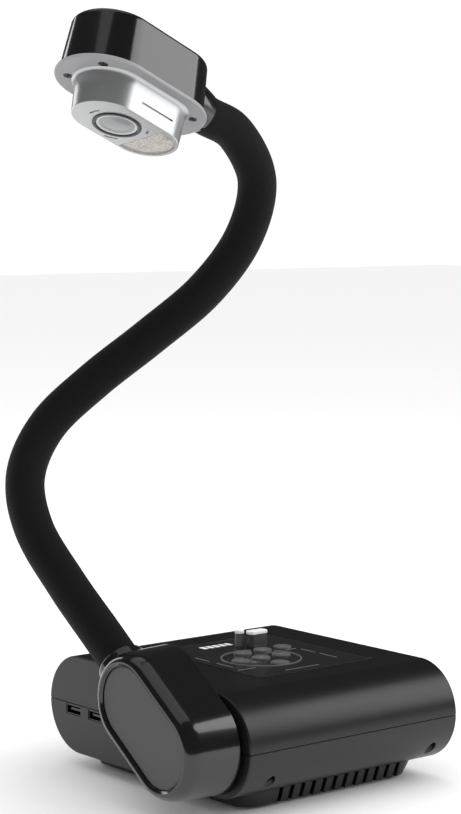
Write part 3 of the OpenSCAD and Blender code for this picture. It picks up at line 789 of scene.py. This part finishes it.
class DOCCAM_OT_keys(bpy.types.Operator):
    """Builds the keys with dished tops, the power button and the mark on each"""

    bl_idname = "doccam.keys"
    bl_label = "Keys"

    def execute(self, context):
        for key in KEYS:
            low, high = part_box(key)
            c = (low + high) / 2
            r, top = 6 * MM, high.z
            cap = turned(
                key + "_cap",
                [(7 * MM, low.z), (7 * MM, low.z + 1.2 * MM), (r, low.z + 1.2 * MM)]
                + rounded(r, top - 0.6 * MM, 0.6 * MM, 0.6 * MM, 4)
                + [(4.4 * MM, top - 0.1 * MM), (2.6 * MM, top - 0.28 * MM), (0.8 * MM, top - 0.36 * MM)],
                64,
            )
            settle(cap, Matrix.Translation((c.x, c.y, 0)))
            smooth(cap)
            fit_out(cap, key, "key_plastic", "key_grey", key)
            self.symbol(key, c, top)
        low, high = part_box("power_button")
        c = (low + high) / 2
        button = turned(
            "power_knob",
            [(4.2 * MM, low.z), (4.2 * MM, low.z + 1.2 * MM), (3 * MM, low.z + 1.2 * MM)]
            + [(3 * MM, high.z - 2.6 * MM), (2.5 * MM, high.z - 2.6 * MM), (2.5 * MM, high.z - 2.1 * MM)],
            48,
        )
        settle(button, Matrix.Translation((c.x, c.y, 0)))
        smooth(button)
        fit_out(button, "power_button", "key_plastic", "key_grey", "power_button")
        # White dome on the power button: the white is a painted highlight on the button's top
        cap = turned(
            "painted_highlight_power_cap", [(2.4 * MM, high.z - 2.2 * MM), (3 * MM, high.z - 2.2 * MM)]
            + rounded(3 * MM, high.z - 0.7 * MM, 0.7 * MM, 0.7 * MM, 4), 48,
        )
        settle(cap, Matrix.Translation((c.x, c.y, 0)))
        smooth(cap)
        fit_out(cap, "power_button", "white_print_and_painted_highlight", "trim_grey")
        return {"FINISHED"}

    def symbol(self, key, c, top):
        """A plain bar, dot or pointer printed on the key's top."""
        clear()
        pointing = {"key_up": 0, "key_left": 90, "key_down": 180, "key_right": 270}
        if key in pointing:
            bpy.ops.mesh.primitive_cylinder_add(vertices=3, radius=1.7 * MM, depth=0.1 * MM)
            turn = Matrix.Rotation(math.radians(pointing[key]), 4, "Z")
        elif key == "key_select":
            bpy.ops.mesh.primitive_cylinder_add(vertices=32, radius=1.5 * MM, depth=0.1 * MM)
            turn = Matrix.Identity(4)
        else:
            bpy.ops.mesh.primitive_cube_add(size=1, scale=(3.4 * MM, 0.9 * MM, 0.1 * MM))
            turn = Matrix.Identity(4)
        sign = settle(named(key + "_mark"), Matrix.Translation((c.x, c.y, top - 0.29 * MM)) @ turn)
        soften(sign, 0.02 * MM, 1, 60)
        fit_out(sign, key, "legend_print", "trim_grey")


# ---- arm block ----


class DOCCAM_OT_arm(bpy.types.Operator):
    """Builds the arm block's shell, end cap, inner cover and the collar round the neck"""

    bl_idname = "doccam.arm"
    bl_label = "Arm block"

    def execute(self, context):
        r, rim_r, wall = 30.3 * MM, 24 * MM, 2.5 * MM
        floor = ARM_RIM - 3.2 * MM
        shell = long_round(
            "arm_block_shell",
            [(r - wall - 2.4 * MM, floor - wall), (r - wall - 1 * MM, ARM_RIM - 10 * MM), (r - wall, ARM_GAP),
             (r - 0.4 * MM, ARM_GAP), (r - 0.1 * MM, ARM_GAP + 0.1 * MM), (r, ARM_GAP + 0.4 * MM)]
            + rounded(r - 1 * MM, ARM_RIM - 10 * MM, r - 1 * MM - rim_r, 10 * MM, 10)
            + [(rim_r - 0.5 * MM, ARM_RIM - 0.05 * MM), (22.3 * MM, ARM_RIM - 1.1 * MM),
               (22 * MM, ARM_RIM - 1.5 * MM), (22 * MM, floor)],
            ARM_LEN, 128,
        )
        y = ARM_LEN
        neck_z = -NECK_X * MM
        cut(shell, [rod("hole", 15.05 * MM, (0, y + 10 * MM, neck_z), (0, y + 40 * MM, neck_z), 64)])
        on_arm(shell, "piano_black", "arm_gloss", "arm_shell")

        cap = long_round(
            "arm_end_cap",
            [(21.7 * MM, floor), (21.7 * MM, floor + 0.8 * MM), (21.5 * MM, floor + 1.15 * MM),
             (21.1 * MM, floor + 1.35 * MM), (20.4 * MM, floor + 1.4 * MM)],
            ARM_LEN, 128,
        )
        on_arm(cap, "cap_texture", "cap_grey", "arm_cap")

        cover = long_round(
            "arm_inner_cover",
            [(r - wall - 0.1 * MM, ARM_GAP), (r - wall - 0.1 * MM, ARM_GAP + 2.4 * MM)], ARM_LEN, 96,
        )
        cut(cover, [rod("hole", 9.1 * MM, (0, 0, ARM_GAP - 0.005), (0, 0, ARM_GAP + 0.008), 64)])
        on_arm(cover, "satin_cover", "arm_gloss", "arm_cover")

        collar = turned(
            "neck_base_collar",
            [(15 * MM, y + 22 * MM), (15 * MM, y + 30 * MM)]
            + rounded(15 * MM, y + 30.2 * MM, 1.6 * MM, 1.8 * MM, 6)
            + [(12.9 * MM, y + 31.6 * MM), (12.7 * MM, y + 31 * MM), (12.7 * MM, y + 22.2 * MM)],
        )
        across = Matrix.Translation((0, 0, neck_z)) @ Matrix.Rotation(-math.pi / 2, 4, "X")
        cut(collar, [rod("hole", 12.7 * MM, (0, 0, y + 20 * MM), (0, 0, y + 40 * MM), 96)])
        on_arm(collar, "piano_black", "arm_gloss", "neck_collar", axes=ARM_AXES @ across)
        return {"FINISHED"}


# ---- neck ----


def route_point(i):
    p = [Vector(q) for q in NECK_ROUTE]
    if i < 0:
        return 2 * p[0] - p[1]
    if i >= len(p):
        return 2 * p[-1] - p[-2]
    return p[i]


def route(u):
    """A point of the neck's centre line, in metres, as the design has it."""
    i = min(int(u), len(NECK_ROUTE) - 2)
    a, b, c, d = (route_point(i + k) for k in (-1, 0, 1, 2))
    t = u - i
    p = 2 * b + (c - a) * t + (2 * a - 5 * b + 4 * c - d) * t**2 + (3 * b - a - 3 * c + d) * t**3
    return p * 0.5 * MM


def sleeve(name, u0, u1, radius, rings):
    """A closed tube along the route, with a map whose unit is a metre along and around."""
    clear()
    bpy.ops.curve.primitive_nurbs_path_add()
    obj = bpy.context.object
    obj.name = name
    curve = obj.data
    curve.splines.clear()
    count = round((u1 - u0) * rings)
    line = curve.splines.new("POLY")
    line.points.add(count)
    for k, point in enumerate(line.points):
        point.co = (*route(u0 + (u1 - u0) * k / count), 1)
    curve.bevel_depth = radius
    curve.bevel_resolution = 10
    curve.use_fill_caps = True
    curve.twist_mode = "MINIMUM"
    only(obj)
    bpy.ops.object.convert(target="MESH")
    tube = settle(named(name))
    map_sleeve(tube, u0, u1, radius)
    only(tube)
    bpy.ops.object.mode_set(mode="EDIT")
    bpy.ops.mesh.select_all(action="SELECT")
    bpy.ops.mesh.remove_doubles(threshold=1e-6)
    bpy.ops.mesh.normals_make_consistent(inside=False)
    bpy.ops.object.mode_set(mode="OBJECT")
    return tube


def map_sleeve(tube, u0, u1, radius):
    """Turns the tube's own 0 to 1 map into metres."""
    found = tube.data.uv_layers.active or tube.data.uv_layers.new()
    found.name = "sleeve"
    steps = 64
    points = [route(u0 + (u1 - u0) * k / steps) for k in range(steps + 1)]
    length = sum((b - a).length for a, b in zip(points, points[1:]))
    for loop in found.data:
        along, around = loop.uv
        loop.uv = (along * length, around * 2 * math.pi * radius)


class DOCCAM_OT_neck(bpy.types.Operator):
    """Builds the neck's sleeve in three lengths along the route"""

    bl_idname = "doccam.neck"
    bl_label = "Neck"

    def execute(self, context):
        s = context.scene.doccam_neck
        spans = [
            ("lower_sleeve", "neck_low_flex", 0.16, 3.5, ("neck_sleeve_1", "neck_core_1")),
            ("middle_sleeve", "neck_mid_flex", 3.5, 8.0, ("neck_sleeve_2", "neck_core_2")),
            ("upper_sleeve", "neck_top_flex", 8.0, 12.2, ("neck_sleeve_3", "neck_core_3", "neck_sleeve_4")),
        ]
        for name, joint, u0, u1, nodes in spans:
            tube = sleeve(name, u0, u1, s.radius, s.step)
            smooth(tube, 60)
            fit_out(tube, None, "neck_sleeve_cloth", "neck_sleeve", *nodes)
            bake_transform(tube)
        return {"FINISHED"}


# ---- head ----


class DOCCAM_OT_head(bpy.types.Operator):
    """Builds the camera housing, its flange and the collar to the neck"""

    bl_idname = "doccam.head"
    bl_label = "Camera head"

    def execute(self, context):
        s = context.scene.doccam_head
        r, t, h = s.flange_r, s.flange_t, s.housing_h
        low_r = r - 2.4 * MM
        housing = long_round_x(
            "camera_housing",
            [(low_r - 4.4 * MM, t + h - 2.2 * MM), (low_r - 2 * MM, t + 0.3 * MM), (low_r - 0.3 * MM, t),
             (low_r, t + 0.3 * MM)]
            + rounded(low_r - 2.1 * MM, t + h - 3 * MM, 3 * MM, 3 * MM, 8),
            s.flange_len, 128,
        )
        cut(housing, [rod("hole", 8.4 * MM, (-60 * MM, 0, NECK_HEIGHT), (-40 * MM, 0, NECK_HEIGHT))])
        on_head(housing, "piano_black", "head_gloss", "head_housing")

        flange = long_round_x(
            "lens_flange",
            [(r - 1.2 * MM, 0), (r - 0.35 * MM, 0.3 * MM), (r, 0.9 * MM), (r, t - 0.8 * MM),
             (r - 0.3 * MM, t - 0.2 * MM), (r - 0.9 * MM, t)],
            s.flange_len, 128,
        )
        holes = [rod("hole", 3.1 * MM, (x, y, -0.01), (x, y, 1.2 * MM), 32) for x, y in self.screws()]
        cut(flange, holes)
        on_head(flange, "flange_satin", "flange_grey", "head_flange")

        collar = turned(
            "head_neck_collar",
            [(13 * MM, 0), (13.4 * MM, 0.3 * MM), (14.4 * MM, 5 * MM), (15.4 * MM, 10 * MM),
             (15.8 * MM, 16 * MM)],
        )
        inner = [rod("hole", 12.7 * MM, (0, 0, -0.01), (0, 0, 0.03), 64)]
        cut(collar, inner)
        swing = Matrix.Translation((-58 * MM, 0, NECK_HEIGHT)) @ Matrix.Rotation(math.pi / 2, 4, "Y")
        settle(collar, swing)
        body = long_round_x(
            "hollow", [(low_r + 0.1 * MM, t - 2 * MM), (low_r - 2.1 * MM, t + h)], s.flange_len, 128
        )
        cut(collar, [body])
        on_head(collar, "piano_black", "head_gloss", "head_collar")
        return {"FINISHED"}

    def screws(self):
        return [(x * 38 * MM, y * 15 * MM) for x in (-1, 1) for y in (-1, 1)]


def lamp_plate(name, r, z0, z1, grow=0.0):
    """The neck-side end of the lower face, from z0 to z1."""
    s = bpy.context.scene.doccam_head
    plate = long_round_x(name, [(r, z0), (r, z1)], s.lens_len, 96)
    return slice_off(plate, (-13 * MM + grow, 0, 0), (1, 0, 0))


class DOCCAM_OT_lens(bpy.types.Operator):
    """Builds the silver lens housing with the lens ring and the lens front"""

    bl_idname = "doccam.lens"
    bl_label = "Lens housing"

    def execute(self, context):
        s = context.scene.doccam_head
        h, at = s.lens_h, s.lens_at
        shell = long_round_x(
            "silver_lens_housing",
            [(19.2 * MM, -h + 2.4 * MM), (20.4 * MM, -0.1 * MM), (24.5 * MM, 0), (23.6 * MM, -0.5 * MM),
             (22.9 * MM, -1.6 * MM), (22.4 * MM, -3.4 * MM), (22.1 * MM, -6 * MM)]
            + [(x, -z) for x, z in rounded(21.1 * MM, h - 0.9 * MM, 0.9 * MM, 0.9 * MM, 4)],
            s.lens_len, 128,
        )
        cut(shell, [rod("hole", 13.4 * MM, (at, 0, -h - 0.002), (at, 0, -h + 0.006), 96)])
        cut(shell, [lamp_plate("hole", 18.5 * MM, -h - 1 * MM, -h + 5 * MM, 0.1 * MM)])
        notches = []
        for angle in (0, 140, 237):
            for part in (-1, 0, 1):
                turn = Matrix.Translation((at, 0, -h)) @ Matrix.Rotation(math.radians(angle + 8 * part), 4, "Z")
                notches.append(settle(block("notch", (1.4 * MM, 3 * MM, 1.6 * MM), (18.8 * MM, 0, 0)), turn))
        for notch in notches:
            cut(shell, [notch])
        cut(shell, [block("slot", (26 * MM, 3 * MM, 1.3 * MM), (-4 * MM, 21.8 * MM, -12.75 * MM))])
        on_head(shell, "lens_silver", "lens_silver", "lens_housing")

        ring = turned(
            "lens_trim_ring",
            [(12.6 * MM, 4.2 * MM), (13.3 * MM, 4.2 * MM), (13.3 * MM, 0.8 * MM), (15 * MM, 0.8 * MM),
             (15 * MM, 0.3 * MM), (14.6 * MM, 0), (13.3 * MM, 0), (12.6 * MM, 0.6 * MM)],
        )
        bore(ring, 12.6 * MM)
        settle(ring, Matrix.Translation((at, 0, -h - 0.8 * MM)))
        on_head(ring, "ring_black", "ring_black", "lens_ring")

        front = turned(
            "lens_front",
            [(11 * MM, 1.6 * MM), (11 * MM, 0.2 * MM), (9.2 * MM, 0.1 * MM), (8.8 * MM, 0.35 * MM),
             (6 * MM, 0.1 * MM), (3 * MM, -0.05 * MM), (0.6 * MM, -0.1 * MM)],
        )
        settle(front, Matrix.Translation((at, 0, -h - 0.2 * MM)))
        on_head(front, "lens_front", "lens_glass", "lens_glass")

        border = turned(
            "lens_border",
            [(12.5 * MM, 1.6 * MM), (12.5 * MM, 0.2 * MM), (12.2 * MM, 0), (11.3 * MM, 0), (11.05 * MM, 0.2 * MM)],
        )
        bore(border, 11.05 * MM)
        settle(border, Matrix.Translation((at, 0, -h - 0.2 * MM)))
        on_head(border, "lens_border", "lens_silver")
        return {"FINISHED"}


LAMPS = [(-17, -11), (-17, 0), (-17, 11), (-26, -8.5), (-26, 3), (-25, 12)]


class DOCCAM_OT_lamp(bpy.types.Operator):
    """Builds the lamp's reflector cups, its lights and the clear window over them"""

    bl_idname = "doccam.lamp"
    bl_label = "Lamp"

    def execute(self, context):
        h = context.scene.doccam_head.lens_h
        tray = lamp_plate("reflector_tray", 18 * MM, -h + 1.9 * MM, -h + 5 * MM)
        cup = [(4.6, 1.2), (4.3, 2), (3.2, 3.4), (1.8, 4.2)]
        for tool in self.at_lamps("cup", cup, h, 32):
            cut(tray, [tool])
        on_head(tray, "lamp_chrome", "lamp_white", "lamp_leds")
        chip = [(1.6, 4.3), (1.5, 3.8), (1.0, 3.3), (0.3, 3.15)]
        lights = joined("lamp_chips", self.at_lamps("chip", chip, h, 24))
        on_head(lights, "lamp_phosphor", "lamp_white")
        window = lamp_plate("lamp_cover", 18.4 * MM, -h, -h + 1.4 * MM)
        soften(window, 0.25 * MM)
        on_head(window, "lamp_clear", "lamp_clear", "lamp_window")
        return {"FINISHED"}

    def at_lamps(self, name, profile, h, sides):
        """One turned piece at each lamp. profile is (radius, height over the lower face) in millimetres."""
        points = [(r * MM, z * MM - h) for r, z in profile]
        return [
            settle(turned(name, points, sides), Matrix.Translation((x * MM, y * MM, 0))) for x, y in LAMPS
        ]


# ---- carried-over nodes ----

NODE_FINISH = {
    "feet": "foot_rubber",
    "cover_screws": "plated_steel",
    "ballast_plate": "plated_steel",
    "main_board": "board_green",
    "board_screws": "plated_steel",
    "heat_sink": "cast_alloy",
    "video_socket": "dark_nickel",
    "data_socket": "dark_nickel",
    "monitor_socket": "socket_blue",
    "power_inlet": "moulded_black",
    "key_board": "board_green",
    "key_mat": "mat_silicone",
    "hinge_bracket": "plated_steel",
    "hinge_bush": "sintered_bronze",
    "thrust_washer": "moulded_black",
    "arm_frame": "cast_alloy",
    "hinge_shaft": "plated_steel",
    "spring_washer": "plated_steel",
    "hinge_nut": "plated_steel",
    "neck_core_4": "wound_steel",
    "neck_nut": "plated_steel",
    "lens_barrel": "moulded_black",
    "sensor_board": "board_green",
    "lamp_board": "mat_silicone",
    "head_screws": "moulded_black",
}


class DOCCAM_OT_inner_finishes(bpy.types.Operator):
    """Gives every piece that stays as designed its own finish"""

    bl_idname = "doccam.inner_finishes"
    bl_label = "Finishes of the inner pieces"

    def execute(self, context):
        for node, name in NODE_FINISH.items():
            mesh = frame["nodes"][node].data
            mesh.materials.clear()
            mesh.materials.append(finish(name))
        return {"FINISHED"}


# ---- stage ----


def soft_light(name, place, target, size, power):
    clear()
    bpy.ops.object.light_add(type="AREA", location=place)
    lamp = bpy.context.object
    lamp.name = name
    lamp.data.shape = "RECTANGLE"
    lamp.data.size, lamp.data.size_y = size
    lamp.data.energy = power
    lamp.rotation_euler = (Vector(target) - Vector(place)).to_track_quat("-Z", "Y").to_euler()
    return lamp


class DOCCAM_OT_stage(bpy.types.Operator):
    """Sets up the pale floor, the soft lights and the camera"""

    bl_idname = "doccam.stage"
    bl_label = "Studio"

    def execute(self, context):
        s = context.scene.doccam_stage
        clear()
        bpy.ops.mesh.primitive_plane_add(size=16, location=(0.3, 0.3, 0))
        floor = settle(named("studio_floor"))
        white = moulded("studio_white", (0.93, 0.93, 0.93), 0.9, 40, 0.0, 0.01, Specular_IOR_Level=0.1)
        floor.data.materials.append(white)
        self.sky(context)
        middle_point = (-0.02, 0, 0.1)
        soft_light("right_softbox", (0.985, -0.71, 0.8), middle_point, (0.8, 1.0), 7)
        soft_light("back_softbox", (-0.2, 1.5, 0.5), middle_point, (0.5, 0.9), 3)
        soft_light("floor_wash", (0.0, 0.4, 2.6), (0.3, 0.4, 0), (2.6, 2.6), 12)
        clear()
        bpy.ops.object.camera_add(location=s.eye, rotation=(math.pi / 2 - s.pitch, 0, -s.yaw))
        camera = bpy.context.object
        camera.name = "studio_camera"
        camera.data.sensor_fit = "VERTICAL"
        camera.data.sensor_height = 36
        camera.data.lens = s.lens
        camera.data.clip_end = 50
        context.scene.camera = camera
        context.scene.view_settings.view_transform = "Standard"
        return {"FINISHED"}

    def sky(self, context):
        """White where it is seen or lights a matt face, and dark where a gloss face mirrors it."""
        world = bpy.data.worlds.new("studio_surround")
        context.scene.world = world
        world.use_nodes = True
        n, link = world.node_tree.nodes, world.node_tree.links.new
        path, pick = n.new("ShaderNodeLightPath"), n.new("ShaderNodeMix")
        pick.data_type = "RGBA"
        pick.inputs["A"].default_value = (1.0, 1.0, 1.0, 1)
        pick.inputs["B"].default_value = (0.05, 0.05, 0.05, 1)
        link(path.outputs["Is Glossy Ray"], pick.inputs["Factor"])
        link(pick.outputs["Result"], n["Background"].inputs["Color"])
        n["Background"].inputs["Strength"].default_value = 1.02


STEPS = [
    DOCCAM_OT_stage, DOCCAM_OT_covers, DOCCAM_OT_pan, DOCCAM_OT_panel, DOCCAM_OT_keys, DOCCAM_OT_arm,
    DOCCAM_OT_neck, DOCCAM_OT_head, DOCCAM_OT_lens, DOCCAM_OT_lamp, DOCCAM_OT_inner_finishes,
]


class DOCCAM_PT_pieces(bpy.types.Panel):
    """Lists the operators that build the document camera"""

    bl_idname = "DOCCAM_PT_pieces"
    bl_label = "Document camera"
    bl_space_type = "VIEW_3D"
    bl_region_type = "UI"
    bl_category = "Document Camera"

    def draw(self, context):
        for step in STEPS:
            self.layout.operator(step.bl_idname)
        for name in GROUPS:
            box = self.layout.box()
            for key in GROUPS[name].__annotations__:
                box.prop(getattr(context.scene, name), key)


def register():
    for group in GROUPS.values():
        bpy.utils.register_class(group)
    for step in STEPS:
        bpy.utils.register_class(step)
    bpy.utils.register_class(DOCCAM_PT_pieces)
    for name, group in GROUPS.items():
        setattr(bpy.types.Scene, name, bpy.props.PointerProperty(type=group))


def unregister():
    for name in GROUPS:
        delattr(bpy.types.Scene, name)
    for cls in [DOCCAM_PT_pieces, *reversed(STEPS), *reversed(list(GROUPS.values()))]:
        bpy.utils.unregister_class(cls)


def main():
    register()
    bpy.ops.doccam.stage()
    bpy.ops.doccam.covers()
    bpy.ops.doccam.pan()
    bpy.ops.doccam.panel()
    bpy.ops.doccam.keys()
    bpy.ops.doccam.arm()
    bpy.ops.doccam.neck()
    bpy.ops.doccam.head()
    bpy.ops.doccam.lens()
    bpy.ops.doccam.lamp()
    bpy.ops.doccam.inner_finishes()


if __name__ == "__main__":
    main()
